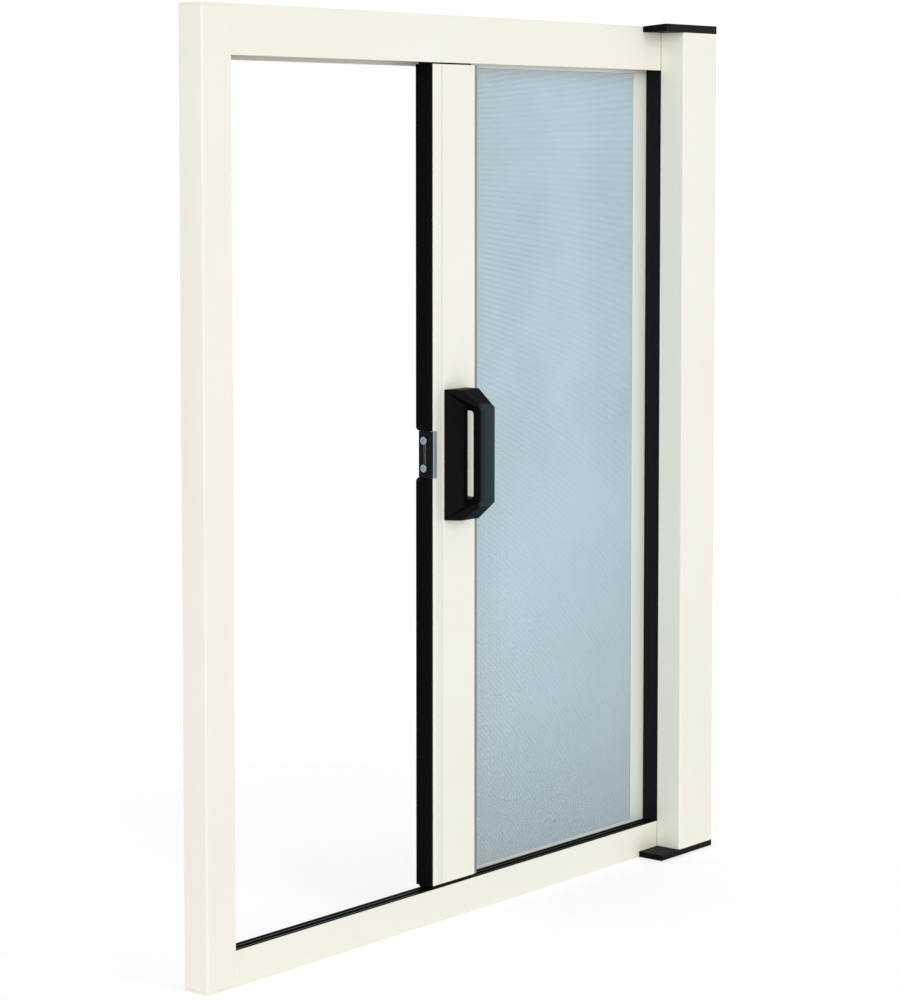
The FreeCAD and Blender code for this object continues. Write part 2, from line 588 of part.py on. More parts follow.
def end_cap(label, upper):
    """Moulded end cap: plate with a wing over the rail, bearing boss and a tongue in the rail."""
    body = new_body(label, INLET, "0", TOP if upper else "0")
    sign = "-" if upper else ""
    outline = (
        ("-cap_wing", FACE), ("cassette_face", FACE), ("cassette_face", BACK),
        ("0", BACK), ("0", FRONT), ("-cap_wing", FRONT),
    )
    pad(body, draw(body, "XY", rings=(outline,)), "cap_plate", against=upper)
    if upper:
        wedge = ((FRONT, "0"), (FACE, "0"), (FACE, "cap_rise"))
        pad(body, draw(body, "YZ", "-cap_wing", rings=(wedge,)), "cap_wing + cassette_face")
    corners = upright_at(("-cap_wing", FACE), ("cassette_face", FACE), ("cassette_face", BACK))
    round_edges(body, "cap_edge_radius", corners)
    boss = draw(body, "XY", f"{sign}cap_plate", circles=(("roller_offset", ROLLER_Y,
                                                          "cap_boss_radius"),))
    pad(body, boss, "cap_boss_height", against=upper)
    levels = chamber_levels(upper, "cap_plate")
    across = "cap_tongue_depth/2"
    tongue = draw(body, "YZ", "-cap_tongue", boxes=((f"-{across}", levels[0],
                                                     across, levels[1]),))
    pad(body, tongue, "cap_tongue + roller_offset - cap_boss_radius/2")
    holes = [(u, v, "screw_radius + 2*seat_gap") for u, v in port_centres()]
    through = draw(body, "XY", "cap_plate" if upper else "2*cap_plate", circles=holes)
    pocket(body, through, "3*cap_plate")
    seats = [(u, v, "screw_head_radius + seat_gap") for u, v in port_centres()]
    rise = "cap_rise" if upper else "0"
    pocket(body, draw(body, "XY", rise, circles=seats),
           f"screw_head_height + seat_gap + {rise}", along=not upper)
    bearing = draw(body, "XY", f"{sign}(cap_plate + cap_boss_height)",
                   circles=(("roller_offset", ROLLER_Y, "axle_radius + axle_play"),))
    pocket(body, bearing, "cap_boss_height + cap_plate/2", along=upper)


def cap_screws():
    """Four screws that hold the end caps to the cassette."""
    body = new_body("cap_screws", INLET)
    seat = "(screw_head_height + seat_gap)"
    sizes = ("screw_head_radius", "screw_head_height", "screw_radius", "screw_length")
    pan_screws(body, "XY", seat, port_centres(), *sizes)
    pan_screws(body, "XY", f"frame_height - {seat}", port_centres(), *sizes, ahead=True)


def inlet_strip():
    """Black strip behind the edge of the cassette's side wall, just in front of the mesh."""
    low = f"({SILL_FLOOR} + guide_floor + seat_gap)"
    body = new_body("inlet_strip", INLET, "0", low)
    rear = f"{MESH} - mesh_thickness/2 - roll_gap"
    outline = (
        ("0", FRONT), ("profile_wall", FRONT), ("profile_wall", f"{FRONT} - inlet_seal_leg"),
        ("inlet_seal_width", f"{FRONT} - inlet_seal_leg"), ("inlet_seal_width", rear),
        ("0", rear),
    )
    length = f"{HEAD_ROOF} - guide_floor - seat_gap - {low}"
    pad(body, draw(body, "XY", rings=(outline,)), length)


def inlet_pile():
    """Pile strip on the cassette's back wall, just behind the mesh."""
    low = f"({SILL_FLOOR} + guide_floor + seat_gap)"
    body = new_body("inlet_pile", INLET, "0", low)
    front = f"{MESH} + mesh_thickness/2 + roll_gap"
    strip = draw(body, "XY", boxes=(("profile_wall", front, "profile_wall + inlet_pile_width",
                                     INSIDE),))
    pad(body, strip, f"{HEAD_ROOF} - guide_floor - seat_gap - {low}")


# The roller and its spring


def rod(label, x, y, low, length, *radii):
    """An upright round rod, or a tube when it has an inner radius too."""
    body = new_body(label, x, y, low)
    circles = [("0", "0", radius) for radius in radii]
    pad(body, draw(body, "XY", circles=circles), length)
    return body


def roller_parts():
    """The tube with the mesh wound on it, and its two end plugs."""
    tube_length = f"frame_height - 2*{TUBE_LOW}"
    rod("roller_tube", ROLLER_X, ROLLER_Y, TUBE_LOW, tube_length, "tube_radius",
        "tube_radius - tube_wall")
    rod("mesh_roll", ROLLER_X, ROLLER_Y, MESH_LOW, f"{MESH_HIGH} - {MESH_LOW}", ROLL_RADIUS,
        "tube_radius + seat_gap")
    for label, upper in (("roller_plug_top", True), ("roller_plug_bottom", False)):
        low = f"frame_height - {TUBE_LOW}" if upper else TUBE_LOW
        body = new_body(label, ROLLER_X, ROLLER_Y, low)
        bore = ("0", "0", "axle_radius + axle_play")
        insert = ("0", "0", "tube_radius - tube_wall - seat_gap")
        pad(body, draw(body, "XY", circles=(insert, bore)), "plug_length", against=upper)
        pad(body, draw(body, "XY", circles=(("0", "0", "tube_radius"), bore)), "plug_flange",
            against=not upper)


def spring_parts():
    """Top bearing pin, and at the bottom the spring, its coils as one sleeve, with its shaft."""
    rod("idle_pin", ROLLER_X, ROLLER_Y, "frame_height - cap_plate/2 - idle_pin_length",
        "idle_pin_length", "axle_radius")
    rod("spring_shaft", ROLLER_X, ROLLER_Y, "cap_plate/2", "spring_shaft_length", "axle_radius")
    collar = "(spring_shaft_length - 2*collar_length)"
    rod("spring_collar", ROLLER_X, ROLLER_Y, collar, "collar_length", "collar_radius",
        "axle_radius + axle_play")
    start = f"({TUBE_LOW} + plug_length + roll_gap)"
    rod("torsion_spring", ROLLER_X, ROLLER_Y, start, f"{collar} - {start}",
        "spring_coil_radius + spring_wire_radius", "spring_coil_radius - spring_wire_radius")


# The pull bar and what it carries


def bar_profile():
    """Pull bar: a box profile with a groove for the strip and a round one for the mesh cord."""
    body = new_body("bar_profile", BAR_LEFT, FRONT, BAR_LOW)
    middle = f"({SEAL} + rail_depth/2)"
    half = "(seal_tail_width/2 + seat_gap)"
    deep = "(seal_tail_depth + seat_gap)"
    block = "(spline_groove + bar_wall)"
    outline = (
        ("0", "0"), ("bar_line_offset - bar_line_width/2", "0"),
        ("bar_line_offset - bar_line_width/2", "bar_line_depth"),
        ("bar_line_offset + bar_line_width/2", "bar_line_depth"),
        ("bar_line_offset + bar_line_width/2", "0"), ("bar_face", "0"),
        ("bar_face", "bar_depth"), ("bar_step", "bar_depth"), ("bar_step", "bar_step_depth"),
        ("0", "bar_step_depth"), ("0", f"{middle} + {half}"),
        (deep, f"{middle} + {half}"), (deep, f"{middle} - {half}"), ("0", f"{middle} - {half}"),
    )
    left = f"{deep} + bar_wall"
    right = "bar_face - bar_wall"
    rear = "bar_depth - bar_wall"
    middle_rear = "bar_step_depth - bar_wall"
    chamber = (
        (left, "bar_wall"), (right, "bar_wall"), (right, f"mesh_back - {block}"),
        (f"bar_face - spline_inset - {block}", f"mesh_back - {block}"),
        (f"bar_face - spline_inset - {block}", rear), ("bar_step + bar_wall", rear),
        ("bar_step + bar_wall", middle_rear), (left, middle_rear),
    )
    pad(body, draw(body, "XY", rings=(outline, chamber)), BAR_LENGTH)
    groove = (("bar_face - spline_inset", "mesh_back", "spline_groove"),)
    pocket(body, draw(body, "XY", BAR_LENGTH, circles=groove), BAR_LENGTH)
    mouth = (("bar_face - spline_inset", "mesh_back - spline_mouth/2",
              "bar_face + 1", "mesh_back + spline_mouth/2"),)
    pocket(body, draw(body, "XY", BAR_LENGTH, boxes=mouth), BAR_LENGTH)
    slot = (("bar_face - 2*bar_wall", f"{BEAD_MIDDLE} - bead_tail/2 - seat_gap", "bar_face + 1",
             f"{BEAD_MIDDLE} + bead_tail/2 + seat_gap"),)
    pocket(body, draw(body, "XY", BAR_LENGTH, boxes=slot), BAR_LENGTH)
    screws = [("handle_offset + handle_width/2",
               f"handle_centre - {BAR_LOW} {sign} {HANDLE_SCREW}",
               "handle_screw_radius + seat_gap") for sign in "-+"]
    pocket(body, draw(body, "XZ", "1", circles=screws), "bar_depth + 2")
    screws = [(middle, f"latch_centre - {BAR_LOW} {sign} latch_screw_spacing/2",
               "latch_screw_radius + seat_gap") for sign in "-+"]
    pocket(body, draw(body, "YZ", "-1", circles=screws), f"{left} + 1.5", along=True)
    catch = ((f"{middle} - latch_slot_width/2 - seat_gap",
              f"latch_centre - {BAR_LOW} - latch_slot_length/2 - seat_gap",
              f"{middle} + latch_slot_width/2 + seat_gap",
              f"latch_centre - {BAR_LOW} + latch_slot_length/2 + seat_gap"),)
    pocket(body, draw(body, "YZ", "-1", boxes=catch), f"{left} + 1.5", along=True)
    corners = upright_at(("0", "0"), ("bar_face", "bar_depth"), ("bar_step", "bar_depth"),
                         ("0", "bar_step_depth"))
    round_edges(body, "bar_edge_radius", corners)


def bar_shoe(label, upper):
    """Moulded end of the pull bar, with a tongue that runs in the liner's track."""
    body = new_body(label, BAR_LEFT, FRONT, BAR_HIGH if upper else BAR_LOW)
    step = "shoe_top_step" if upper else "shoe_front_step"
    side = "bar_face - spline_inset - spline_groove - bar_wall"
    right = "bar_face - 4*slide_gap"
    plate = (("0", step), (right, step), (right, "bar_depth"), ("bar_step", "bar_depth"),
             ("bar_step", "bar_step_depth"), ("0", "bar_step_depth"))
    pad(body, draw(body, "XY", rings=(plate,)), "shoe_plate", against=not upper)
    plug = (("seal_tail_depth + bar_wall + 2*seat_gap", "bar_wall + seat_gap",
             f"{side} - seat_gap", "bar_step_depth - bar_wall - seat_gap"),)
    pad(body, draw(body, "XY", boxes=plug), "shoe_plug", against=upper)
    half = "(track_width/2 - track_play)"
    tongue = (("bar_face/8", f"track_back - {half}", "bar_face*7/8", f"track_back + {half}"),)
    reach = "(bar_bottom_gap + tongue_reach)"
    if upper:
        reach = (f"(head_face + bar_top_gap + tongue_reach - head_chamber - profile_wall"
                 " - guide_floor - head_fin_height)")
    pad(body, draw(body, "XY", boxes=tongue), reach, against=not upper)


def leading_strip(label, low, high):
    """Black strip on the bar's leading edge, held by a tail in the bar's groove."""
    body = new_body(label, BAR_LEFT, FRONT, low)
    middle = f"({SEAL} + rail_depth/2)"
    outline = (
        ("-seal_proud", "seal_front_step"), ("0", "seal_front_step"),
        ("0", f"{middle} - seal_tail_width/2"),
        ("seal_tail_depth", f"{middle} - seal_tail_width/2"),
        ("seal_tail_depth", f"{middle} + seal_tail_width/2"),
        ("0", f"{middle} + seal_tail_width/2"), ("0", "seal_front_step + seal_width"),
        ("-seal_proud", "seal_front_step + seal_width"),
    )
    pad(body, draw(body, "XY", rings=(outline,)), f"{high} - ({low})")


def bar_bead():
    """Grey bead along the pull bar's right edge, held by a tail in the bar's side wall."""
    body = new_body("bar_bead", BAR_LEFT, FRONT, BAR_LOW)
    tip = "bar_face - bar_wall - bead_tail"
    outline = (
        ("bar_face", "bead_step"), ("bar_face + bead_width", "bead_step"),
        ("bar_face + bead_width", "bead_step + bead_depth"),
        ("bar_face", "bead_step + bead_depth"), ("bar_face", f"{BEAD_MIDDLE} + bead_tail/2"),
        (tip, f"{BEAD_MIDDLE} + bead_tail/2"), (tip, f"{BEAD_MIDDLE} - bead_tail/2"),
        ("bar_face", f"{BEAD_MIDDLE} - bead_tail/2"),
    )
    pad(body, draw(body, "XY", rings=(outline,)), BAR_LENGTH)


def latch():
    """Steel latch plate round the bar's leading edge, and its two screws."""
    body = new_body("latch_plate", BAR_LEFT, FRONT, "latch_centre")
    middle = f"({SEAL} + rail_depth/2)"
    thick = "latch_plate_thickness"
    outline = (
        (f"-{thick}", f"-{thick}"), ("latch_return", f"-{thick}"), ("latch_return", "0"),
        ("0", "0"), ("0", "latch_width"), (f"-{thick}", "latch_width"),
    )
    pad(body, draw(body, "XY", "-latch_length/2", rings=(outline,)), "latch_length")
    slot = (f"{middle} - latch_slot_width/2", "-latch_slot_length/2",
            f"{middle} + latch_slot_width/2", "latch_slot_length/2")
    centres = [(middle, f"{sign}latch_screw_spacing/2") for sign in ("-", "")]
    holes = [(u, v, "latch_screw_radius + seat_gap") for u, v in centres]
    cut = draw(body, "YZ", f"-{thick} - 1", boxes=(slot,), circles=holes)
    pocket(body, cut, f"{thick} + 1", along=True)
    screws = new_body("latch_screws", BAR_LEFT, FRONT, "latch_centre")
    pan_screws(screws, "YZ", f"-{thick}", centres, "latch_screw_head", "latch_head_height",
               "latch_screw_radius", "latch_screw_length")


def handle():
    """Bridge handle: a grip between two blocks with slanted ends, over a sloping hollow."""
    body = new_body("handle", f"{BAR_LEFT} + handle_offset", FRONT, "handle_centre")
    outline = (
        ("0", "0"), ("handle_width", "0"), ("grip_offset + grip_width", "-handle_reach"),
        ("grip_offset", "-handle_reach"), ("0", "-handle_lip"),
    )
    pad(body, draw(body, "XY", "-handle_length/2", rings=(outline,)), "handle_length")
    over = "(handle_reach + 1)"
    ends = []
    for sign in ("-", ""):
        ends.append((
            ("-handle_shoulder", f"{sign}handle_length/2"),
            ("-handle_reach", f"{sign}(handle_length/2 - handle_chamfer)"),
            (f"-{over}", f"{sign}(handle_length/2 - handle_chamfer)"),
            (f"-{over}", f"{sign}(handle_length/2 + 1)"),
            ("-handle_shoulder", f"{sign}(handle_length/2 + 1)"),
        ))
    pocket(body, draw(body, "YZ", "-1", rings=ends), "handle_width + 2", along=True)
    slope_cut(body, over)
    gap = [("-handle_floor", f"-{HOLLOW_END}"), ("-handle_floor", HOLLOW_END)]
    centre = "(handle_reach - grip_thickness - finger_round)"
    for sign, turns in (("", (0, 30, 60, 90)), ("-", (90, 60, 30, 0))):
        for turn in turns:
            deep = f"-{centre} - finger_round*sin({turn} deg)"
            gap.append((deep, f"{sign}({HOLLOW_END} - finger_round*(1 - cos({turn} deg)))"))
    pocket(body, draw(body, "YZ", "grip_offset", rings=(gap,)), "handle_width", along=True)
    holes = [("handle_width/2", f"{sign}{HANDLE_SCREW}", "handle_screw_radius")
             for sign in ("-", "")]
    pocket(body, draw(body, "XZ", circles=holes), "handle_screw_grip + 1", along=True)
    tips = ("handle_length/2 - handle_chamfer", "-(handle_length/2 - handle_chamfer)")
    long_edge = upright_at(("grip_offset + grip_width", "-handle_reach"))
    end_edges = along_x_at(*[("-handle_reach", tip) for tip in tips])
    round_edges(body, "handle_edge_radius", lambda edge: long_edge(edge) or end_edges(edge))


def slope_cut(body, over):
    """Cuts the hollow left of the grip: a slope up to a ridge, then a flat, mitred ends."""
    rim = "(handle_length/2 - slope_edge)"
    sections = []
    for level, low, half in (("0", "handle_lip", rim), ("ridge_offset", "handle_shoulder", RIDGE_END),
                             ("grip_offset", "handle_shoulder", HOLLOW_END)):
        box = ((f"-{over}", f"-{half}", f"-{low}", half),)
        sections.append(draw(body, "YZ", level, boxes=box))
    document.recompute()
    before = body.Shape.Volume
    for start, end in zip(sections, sections[1:]):
        cut = body.newObject("PartDesign::SubtractiveLoft", "Hollow")
        cut.Profile = start
        cut.Sections = [end]
        cut.Ruled = True
    document.recompute()
    if body.Shape.Volume > before - 1:
        raise RuntimeError("the handle's hollow cuts nothing")


def handle_screws():
    """Two screws that hold the handle, from the back of the bar."""
    body = new_body("handle_screws", f"{BAR_LEFT} + handle_offset", f"{FRONT} + bar_depth",
                    "handle_centre")
    centres = [("handle_width/2", f"{sign}{HANDLE_SCREW}") for sign in ("-", "")]
    pan_screws(body, "XZ", "0", centres, "handle_screw_head", "handle_head_height",
               "handle_screw_radius", "(bar_depth + handle_screw_grip)")


def mesh_screen():
    """Drawn-out mesh: thread bands with rows of gaps between them, in a solid border."""
    body = new_body("mesh_screen", MESH_LEFT, f"{MESH} + mesh_thickness/2", MESH_LOW)
    width = f"({ROLLER_X} - {MESH_LEFT})"
    height = f"({MESH_HIGH} - {MESH_LOW})"
    pad(body, draw(body, "XZ", boxes=(("0", "0", width, height),)), "mesh_thickness")
    pitch = f"(({height} - 2*mesh_border + mesh_band)/mesh_gap_count)"
    row = (("mesh_border", "mesh_border", f"{width} - mesh_border",
            f"mesh_border + {pitch} - mesh_band"),)
    sketch = draw(body, "XZ", boxes=row)
    gap = pocket(body, sketch, "mesh_thickness", along=True)
    rows = body.newObject("PartDesign::LinearPattern", "Rows")
    rows.Originals = [gap]
    rows.Direction = (sketch, ["V_Axis"])
    rows.setExpression("Length", bind(f"{pitch}*(mesh_gap_count - 1)"))
    rows.setExpression("Occurrences", bind("mesh_gap_count"))
    body.Tip = rows


left_jamb()
corner_block("corner_block_top", True)
corner_block("corner_block_bottom", False)
corner_screws()
head_rail()
sill_rail()
track_liner("head_liner", True)
track_liner("sill_liner", False)
closing_strip()
jamb_catch()
catch_screws()
cassette()
end_cap("cassette_cap_top", True)
end_cap("cassette_cap_bottom", False)
cap_screws()
inlet_strip()
inlet_pile()
roller_parts()
spring_parts()
bar_profile()
bar_shoe("bar_shoe_top", True)
bar_shoe("bar_shoe_bottom", False)
leading_strip("leading_strip_lower", BAR_LOW, "latch_centre - latch_length/2 - seat_gap")
leading_strip("leading_strip_upper", "latch_centre + latch_length/2 + seat_gap", BAR_HIGH)
bar_bead()
latch()
handle()
handle_screws()
rod("mesh_cord", f"{BAR_LEFT} + bar_face - spline_inset", MESH, BAR_LOW, BAR_LENGTH,
    "spline_radius")
mesh_screen()

document.recompute()
for item in document.Objects:
    if "Invalid" in item.State or "Error" in item.State:
        raise RuntimeError(f"{item.Label} is {item.State}")
os.makedirs("parts", exist_ok=True)
for piece in pieces:
    shape = piece.Shape
    if shape.isNull() or not shape.isValid() or not shape.Solids:
        raise RuntimeError(f"{piece.Label} has no valid solid")
    shape.exportStep(f"parts/{piece.Label}.step")
    print(piece.Label, len(shape.Solids), round(shape.Volume, 1))
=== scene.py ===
"""Looks of a side-rolling insect screen: cream powder-coated profiles, black moulded caps and
handle, soft black strips, bright screws and a fine blue-grey mesh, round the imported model."""

import json
import math

import bmesh
import bpy
from mathutils import Matrix, Vector

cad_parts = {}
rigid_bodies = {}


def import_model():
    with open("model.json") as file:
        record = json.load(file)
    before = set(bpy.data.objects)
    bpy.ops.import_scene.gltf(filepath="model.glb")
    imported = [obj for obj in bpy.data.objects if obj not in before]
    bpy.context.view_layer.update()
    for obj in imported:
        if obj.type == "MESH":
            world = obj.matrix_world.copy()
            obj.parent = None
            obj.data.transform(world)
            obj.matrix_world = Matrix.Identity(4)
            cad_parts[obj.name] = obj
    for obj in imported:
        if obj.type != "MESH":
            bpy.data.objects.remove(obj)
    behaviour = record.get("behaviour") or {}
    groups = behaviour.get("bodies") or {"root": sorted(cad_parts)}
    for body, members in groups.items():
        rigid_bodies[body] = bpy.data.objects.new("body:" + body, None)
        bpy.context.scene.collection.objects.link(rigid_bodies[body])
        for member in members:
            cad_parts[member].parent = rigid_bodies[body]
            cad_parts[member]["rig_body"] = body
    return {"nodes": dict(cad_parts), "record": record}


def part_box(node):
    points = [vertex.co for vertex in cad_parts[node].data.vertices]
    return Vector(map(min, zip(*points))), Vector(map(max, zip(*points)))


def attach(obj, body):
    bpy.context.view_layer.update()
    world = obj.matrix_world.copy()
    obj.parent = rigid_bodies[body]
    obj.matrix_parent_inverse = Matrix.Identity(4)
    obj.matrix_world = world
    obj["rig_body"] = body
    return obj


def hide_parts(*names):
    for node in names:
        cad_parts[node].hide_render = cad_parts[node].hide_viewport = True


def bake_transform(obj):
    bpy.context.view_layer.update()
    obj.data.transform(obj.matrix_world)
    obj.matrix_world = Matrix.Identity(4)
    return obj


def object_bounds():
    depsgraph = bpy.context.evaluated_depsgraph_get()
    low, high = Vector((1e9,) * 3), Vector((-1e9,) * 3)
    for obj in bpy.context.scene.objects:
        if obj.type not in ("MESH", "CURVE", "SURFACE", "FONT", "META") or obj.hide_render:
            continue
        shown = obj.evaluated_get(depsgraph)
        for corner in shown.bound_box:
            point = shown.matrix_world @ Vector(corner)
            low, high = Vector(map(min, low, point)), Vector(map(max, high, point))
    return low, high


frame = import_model()
cad_low, cad_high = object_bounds()
MM = 0.001

# The photograph's camera: a long lens low on the left, its frame shifted instead of tilted

CAMERA_PLACE = (-1.80096, -1.46057, 0.61502)
CAMERA_YAW = 50.73
CAMERA_PITCH = -4.15
CAMERA_LENS = 104.4
CAMERA_SHIFT = -0.14
CAMERA_REACH = 100
SENSOR = 36.0

# Softened edges, in metres and degrees

EDGE_SOFTENING = 0.25 * MM
HANDLE_SOFTENING = 0.45 * MM
SCREW_SOFTENING = 0.18 * MM
RAIL_SOFTENING = 0.5 * MM
SOFT_SEGMENTS = 2
SHARP_ANGLE = 32.0
FLAT_ANGLE = 0.5
MERGE_REACH = 1e-6

# The pull bar's inside, which the powder doesn't reach

COAT_REACH = 0.9 * MM
BAR_STEP = 20 * MM
BAR_STEP_DEPTH = 15 * MM

# The mesh, its edge taping, and its pale bands of painted light

THREAD = 0.292 * MM
THREAD_SPACING = 1.0 * MM
THREAD_SIDES = 8
EDGE_TAPE_SHOWN = 2.2 * MM
EDGE_TAPE_THICKNESS = 0.7 * MM
# The pale margin by the cassette is painted light: the lit cassette flange as seen through the
# mesh
PAINTED_FLANGE_LEFT = 239.4 * MM
PAINTED_FLANGE_RIGHT = 268 * MM
MESH_DARKEST = 70 * MM
MESH_PALEST = 260 * MM
# Painted shade on the mesh under the top rail, from the rail's edge down to where it ends
MESH_RAIL_EDGE = 681 * MM
MESH_RAIL_END = 668 * MM
MESH_RAIL_SHADE_TONE = 0.5
MESH_OPEN_TONE = 1.7

# The leading strips' ribs: the shares are of one rib and its groove

STRIP_RIB = 1.9 * MM
STRIP_RIB_DEPTH = 0.3 * MM
STRIP_RIB_SHARE = 0.7
STRIP_GROOVE_SHARE = 0.85
STRIP_CORNER = 0.8 * MM
STRIP_SLANT = 3 * MM

# Painted sheen and highlight, and the noise behind all the finishes

GRIP_SHEEN_DEPTH = 5 * MM
RETURN_HIGHLIGHT_DEPTH = 0.6 * MM
NOISE_DETAIL = 3.0

# Floor and light: places in metres, from the middle of the part's foot

WHITE = (1, 1, 1, 1)
FLOOR_SIZE = 14.0
FLOOR_DROP = 0.5 * MM
FLOOR_TONE = "f4f4f4"
FLOOR_ROUGHNESS = 0.9
FLOOR_GLOW = 1.46
FLOOR_LIFT = 0.18
SHADOW_REACH = 0.5
SHADOW_END = 1.8
SHADOW_SHARE = 0.6
WORLD_LIGHT = 0.64
WORLD_SEEN = 1.0
SOFT_BOXES = (
    # name, place, size, power, only in gloss
    ("key", (-1.2, -8.0, 3.2), 4.4, 154, False),
    ("fill", (-8.0, -2.8, 2.0), 4.0, 172, False),
    ("gloss", (2.35, -1.95, 0.42), 0.8, 12, True),
)


# Small helpers for node trees


def tint(code):
    """An sRGB hex colour as linear red, green, blue and alpha."""
    channels = [int(code[start:start + 2], 16) / 255 for start in (0, 2, 4)]
    linear = [c / 12.92 if c <= 0.04045 else ((c + 0.055) / 1.055) ** 2.4 for c in channels]
    return (*linear, 1.0)


def feed(tree, node, inputs):
    """Sets a node's inputs to values, or links them to sockets."""
    for socket, value in inputs.items():
        if isinstance(value, bpy.types.NodeSocket):
            tree.links.new(value, node.inputs[socket])
        else:
            node.inputs[socket].default_value = value


def add(tree, kind, inputs=None, **settings):
    """A new node with its settings and inputs."""
    made = tree.nodes.new(kind)
    for word, value in settings.items():
        setattr(made, word, value)
    feed(tree, made, inputs or {})
    return made


def maths(tree, operation, first, second=0.0, **settings):
    """The result of an operation on one or two numbers."""
    return add(tree, "ShaderNodeMath", {0: first, 1: second}, operation=operation,
               **settings).outputs[0]


def finish_of(name):
    """A new material, its tree, its Principled shader and its Object coordinates."""
    made = bpy.data.materials.new(name)
    made.use_nodes = True
    tree = made.node_tree
    shader = tree.nodes["Principled BSDF"]
    place = add(tree, "ShaderNodeTexCoord").outputs["Object"]
    return made, tree, shader, place


def part_of(tree, place, axis):
    """One axis of the coordinates."""
    return add(tree, "ShaderNodeSeparateXYZ", {0: place}).outputs[axis]


def stretched(tree, place, scale):
    """The coordinates scaled, so that what follows them is drawn out along the small axis."""
    return add(tree, "ShaderNodeMapping", {"Vector": place, "Scale": scale}).outputs["Vector"]


def noise(tree, place, grain):
    """Noise whose lumps are about grain metres across."""
    return add(tree, "ShaderNodeTexNoise", {"Vector": place, "Scale": 1 / grain,
                                            "Detail": NOISE_DETAIL}).outputs["Fac"]


def between(tree, value, low, high, start=0.0, end=1.0):
    """A number that goes from low to high as the value goes from start to end."""
    return add(tree, "ShaderNodeMapRange",
               {"Value": value, "From Min": start, "From Max": end, "To Min": low,
                "To Max": high}).outputs["Result"]


def forward(tree, place, front, depth):
    """1 on what lies within half a depth of a front plane, 0 from the whole depth on."""
    return between(tree, part_of(tree, place, "Y"), 0.0, 1.0, front + depth, front + depth / 2)


def blend_of(tree, factor, first, second):
    """A colour between two colours, each a hex code or a socket."""
    pair = [colour if isinstance(colour, bpy.types.NodeSocket) else tint(colour)
            for colour in (first, second)]
    return add(tree, "ShaderNodeMix", {"Factor": factor, "A": pair[0], "B": pair[1]},
               data_type="RGBA").outputs["Result"]


def relief(tree, shader, height, depth):
    """Bump of a given depth in metres on a shader."""
    bump = add(tree, "ShaderNodeBump", {"Height": height, "Distance": depth, "Strength": 1.0})
    feed(tree, shader, {"Normal": bump.outputs["Normal"]})


# Finishes


def powder_coat():
    """Baked polyester powder on aluminium: satin, with a faint orange peel and cloudy tone."""
    made, tree, shader, place = finish_of("cream_powder_coat")
    cloud = noise(tree, place, 90 * MM)
    peel = noise(tree, place, 1.1 * MM)
    feed(tree, shader, {"Base Color": blend_of(tree, cloud, "efeddf", "f4f2e6"),
                        "Roughness": between(tree, peel, 0.46, 0.6)})
    relief(tree, shader, peel, 0.012 * MM)
    return made


def moulded_black():
    """Black nylon caps and handle: fine grain, and a greyer front on the grip, a painted sheen."""
    made, tree, shader, place = finish_of("black_moulded_nylon")
    cloud = noise(tree, place, 25 * MM)
    grain = noise(tree, place, 0.5 * MM)
    plain = blend_of(tree, cloud, "020203", "050609")
    # Painted sheen: the handle's front is a greyer colour where it would catch the light
    grip = forward(tree, place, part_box("handle")[0].y, GRIP_SHEEN_DEPTH)
    feed(tree, shader, {"Base Color": blend_of(tree, grip, plain, "28323a"),
                        "Roughness": between(tree, grain, 0.42, 0.56),
                        "Specular IOR Level": 0.06})
    relief(tree, shader, grain, 0.02 * MM)
    return made


def cream_nylon():
    """Moulded corner pieces, a touch duller than the coat beside them."""
    made, tree, shader, place = finish_of("cream_moulded_nylon")
    grain = noise(tree, place, 0.6 * MM)
    cloud = noise(tree, place, 12 * MM)
    feed(tree, shader, {"Base Color": blend_of(tree, cloud, "eceada", "f2f0e3"),
                        "Roughness": between(tree, grain, 0.5, 0.62)})
    relief(tree, shader, grain, 0.015 * MM)
    return made


def extruded_pvc():
    """Black rigid PVC liner, with drawn lines along the rail's length."""
    made, tree, shader, place = finish_of("black_extruded_pvc")
    lines = noise(tree, stretched(tree, place, (0.02, 1, 1)), 0.7 * MM)
    feed(tree, shader, {"Base Color": blend_of(tree, lines, "050608", "0b0c0f"),
                        "Roughness": between(tree, lines, 0.28, 0.42),
                        "Specular IOR Level": 0.15})
    relief(tree, shader, lines, 0.02 * MM)
    return made


def grey_pvc():
    """Grey PVC bead in the pull bar's edge, drawn upright."""
    made, tree, shader, place = finish_of("grey_extruded_pvc")
    lines = noise(tree, stretched(tree, place, (1, 1, 0.02)), 0.8 * MM)
    feed(tree, shader, {"Base Color": blend_of(tree, lines, "6c7577", "7d8688"),
                        "Roughness": between(tree, lines, 0.4, 0.55)})
    relief(tree, shader, lines, 0.02 * MM)
    return made


def soft_black(name, sheen=0.05):
    """Black soft extrusion or pile: fine upright lines, a little dust and a given sheen."""
    made, tree, shader, place = finish_of(name)
    lines = noise(tree, stretched(tree, place, (1, 1, 0.01)), 0.6 * MM)
    dust = noise(tree, place, 8 * MM)
    tone = maths(tree, "MULTIPLY", lines, dust)
    feed(tree, shader, {"Base Color": blend_of(tree, tone, "020203", "0a0a0c"),
                        "Roughness": between(tree, lines, 0.6, 0.8),
                        "Specular IOR Level": sheen})
    relief(tree, shader, lines, 0.04 * MM)
    return made


